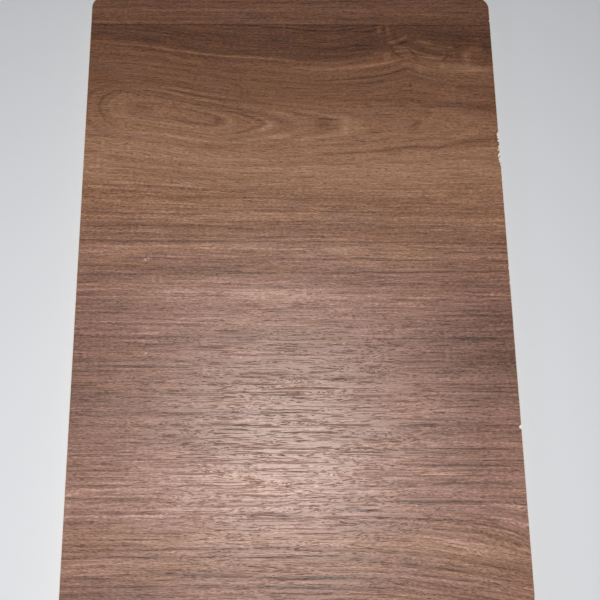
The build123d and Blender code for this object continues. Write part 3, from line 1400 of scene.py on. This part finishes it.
    def skin(self, rings: list[np.ndarray], pole: int) -> tuple[list[list[int]], np.ndarray]:
        """Joins the vertices into faces and gives each face its finish.

        The face's grid comes first, then a band of quads from each ring to the next, and
        last a fan round the pole. The first band and the last one of the edge are the
        film's cut edge, the band and the fan of the underside are film, the rest is ply.

        Args:
            rings: Each ring's vertex numbers, from the face's border down.
            pole: The number of the vertex in the underside's middle.

        Returns:
            Each face's vertex numbers, and each face's finish.
        """
        shape = (len(self.rows), len(self.columns))
        grid = np.arange(shape[0] * shape[1]).reshape(shape)
        corners = (grid[:-1, :-1], grid[:-1, 1:], grid[1:, 1:], grid[1:, :-1])
        blocks = [np.stack(corners, -1).reshape(-1, 4)]
        finishes = [Finish.FILM]
        for upper, lower in zip(rings, rings[1:]):
            blocks.append(np.stack([upper, lower, np.roll(lower, -1), np.roll(upper, -1)], -1))
            finishes.append(Finish.PLY)
        finishes[1] = finishes[-2] = Finish.FILM_EDGE
        finishes[-1] = Finish.FILM
        last = rings[-1]
        blocks.append(np.stack([last, np.full_like(last, pole), np.roll(last, -1)], -1))
        finishes.append(Finish.FILM)
        faces = [row for block in blocks for row in block.tolist()]
        kinds = np.repeat([finish.value for finish in finishes], [len(block) for block in blocks])
        return faces, kinds.astype(np.int32)

    def build(self) -> bpy.types.Object:
        """Makes the closed mesh with its finishes' slots and its UV maps.

        Returns:
            The panel's object, at the origin.
        """
        points, rings = self.surface()
        faces, kinds = self.skin(rings, len(points) - 1)
        mesh = bpy.data.meshes.new("faced_panel")
        mesh.from_pydata((points * MM).tolist(), [], faces)
        mesh.polygons.foreach_set("material_index", kinds)
        mesh.polygons.foreach_set("use_smooth", np.ones(len(faces), bool))
        mesh.update()
        mesh.set_sharp_from_angle(angle=np.radians(self.crease_degrees))
        self.lay_figure(mesh, points, 4 * (len(self.rows) - 1) * (len(self.columns) - 1))
        piece = bpy.data.objects.new("faced_panel", mesh)
        bpy.context.scene.collection.objects.link(piece)
        piece.data.materials.append(WalnutMelamine().material(self.figure, self.length))
        piece.data.materials.append(FilmEdge().material())
        piece.data.materials.append(self.cut.material(self.thickness))
        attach(piece, BODY)
        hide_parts(NODE)
        return piece

    def lay_figure(self, mesh: bpy.types.Mesh, points: np.ndarray, face_corners: int) -> None:
        """Writes the ring and fibre coordinates of every face corner as two UV maps.

        Faces past the slip joint belong to the next slip of the print, whose grain runs
        straight and starts at the strip's offset. The edge and the underside have straight
        grain all over.

        Args:
            mesh: The panel's mesh.
            points: Its vertices in millimetres.
            face_corners: How many of its first face corners make up the show face.
        """
        corner = np.empty(len(mesh.loops), np.int32)
        mesh.loops.foreach_get("vertex_index", corner)
        x = points[corner, 0]
        down = 0.5 * self.length - points[corner, 1]
        middle = down[:face_corners].reshape(-1, 4).mean(1).repeat(4)
        strip = np.zeros(len(corner), bool)
        strip[:face_corners] = middle < self.figure.joint
        figured = (np.arange(len(corner)) < face_corners) & ~strip
        along = np.where(strip, x + self.figure.strip_shift, x)
        straight = np.where(strip, self.figure.strip_offset, self.figure.under_offset) + down
        for guide, across in zip((Guide.RINGS, Guide.FIBRES), self.figure.coordinates(x, down)):
            layer = mesh.uv_layers.new(name=guide.value)
            level = np.where(figured, across, straight)
            layer.data.foreach_set("uv", np.stack([along, level], -1).astype(np.float32).ravel())


@dataclass(frozen=True)
class Lamp:
    """A soft square lamp that faces straight down, its place and size in metres."""

    name: str
    place: tuple[float, float, float]
    size: float
    watts: float


@dataclass
class Studio:
    """The pale floor, the soft lights and the photograph's camera.

    Places and sizes are in metres, the tilt in degrees, the lens and sensor in millimetres.
    """

    floor_size: float = 4.0
    floor_level: float = -0.0001
    floor_cells: int = 8
    floor_colour: str = "#E6E7E9"
    floor_roughness: float = 0.9
    floor_specular: float = 0.1
    lamps: tuple[Lamp, ...] = (
        Lamp(name="overhead", place=(-0.005, -0.09, 0.85), size=0.25, watts=5.7),
        Lamp(name="left_fill", place=(-0.60, -0.30, 0.50), size=0.50, watts=0.9),
    )
    sky: str = "#DDE3EC"
    sky_strength: float = 0.15
    eye: tuple[float, float, float] = (-0.00747, -0.0095, 0.4229)
    tilt: tuple[float, float, float] = (10.54, -1.36, -0.73)
    lens: float = 36.0
    sensor: float = 36.0
    nearest: float = 0.01

    def floor(self) -> None:
        """Lays a flat pale sheet, a level grid of two parameters, a hair under the panel."""
        half = 0.5 * self.floor_size
        side = np.linspace(-half, half, self.floor_cells + 1)
        x, y = np.meshgrid(side, side)
        points = np.stack([x, y, np.full_like(x, self.floor_level)], -1).reshape(-1, 3)
        grid = np.arange(x.size).reshape(x.shape)
        quads = np.stack([grid[:-1, :-1], grid[:-1, 1:], grid[1:, 1:], grid[1:, :-1]], -1)
        mesh = bpy.data.meshes.new("floor")
        mesh.from_pydata(points.tolist(), [], quads.reshape(-1, 4).tolist())
        sheet = bpy.data.objects.new("floor", mesh)
        bpy.context.scene.collection.objects.link(sheet)
        made = bpy.data.materials.new("pale_floor")
        made.use_nodes = True
        shader = made.node_tree.nodes["Principled BSDF"]
        shader.inputs["Base Color"].default_value = hex_to_linear(self.floor_colour)
        shader.inputs["Roughness"].default_value = self.floor_roughness
        shader.inputs["Specular IOR Level"].default_value = self.floor_specular
        sheet.data.materials.append(made)

    def lights(self) -> None:
        """Hangs the soft square lamps and fills the rest with a pale sky."""
        for lamp in self.lamps:
            light = bpy.data.lights.new(lamp.name, "AREA")
            light.shape = "SQUARE"
            light.size = lamp.size
            light.energy = lamp.watts
            hung = bpy.data.objects.new(lamp.name, light)
            hung.location = lamp.place
            bpy.context.scene.collection.objects.link(hung)
        world = bpy.data.worlds.new("studio")
        world.use_nodes = True
        back = world.node_tree.nodes["Background"]
        back.inputs["Color"].default_value = hex_to_linear(self.sky)
        back.inputs["Strength"].default_value = self.sky_strength
        bpy.context.scene.world = world

    def camera(self) -> None:
        """Sets the camera where the photograph's straight edges and corners put it."""
        lens = bpy.data.cameras.new("photo_view")
        lens.sensor_width = self.sensor
        lens.lens = self.lens
        lens.clip_start = self.nearest
        seat = bpy.data.objects.new("photo_view", lens)
        seat.location = self.eye
        seat.rotation_euler = tuple(np.radians(self.tilt))
        bpy.context.scene.collection.objects.link(seat)
        bpy.context.scene.camera = seat

    def build(self) -> None:
        """Makes the floor, the lights and the camera."""
        self.floor()
        self.lights()
        self.camera()
        bpy.context.scene.view_settings.view_transform = "Standard"


def main() -> None:
    """Loads the frame, builds the panel from its sizes and its studio, and logs the face count."""
    logging.basicConfig(level=logging.INFO, format="%(name)s: %(message)s")
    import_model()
    low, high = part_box(NODE)
    width, length, thickness = np.round((np.array(high) - np.array(low)) / MM).tolist()
    Studio().build()
    log.info("studio: floor, lights and camera")
    piece = Panel(width=width, length=length, thickness=thickness).build()
    log.info("%s: %d faces", piece.name, len(piece.data.polygons))


if __name__ == "__main__":
    main()
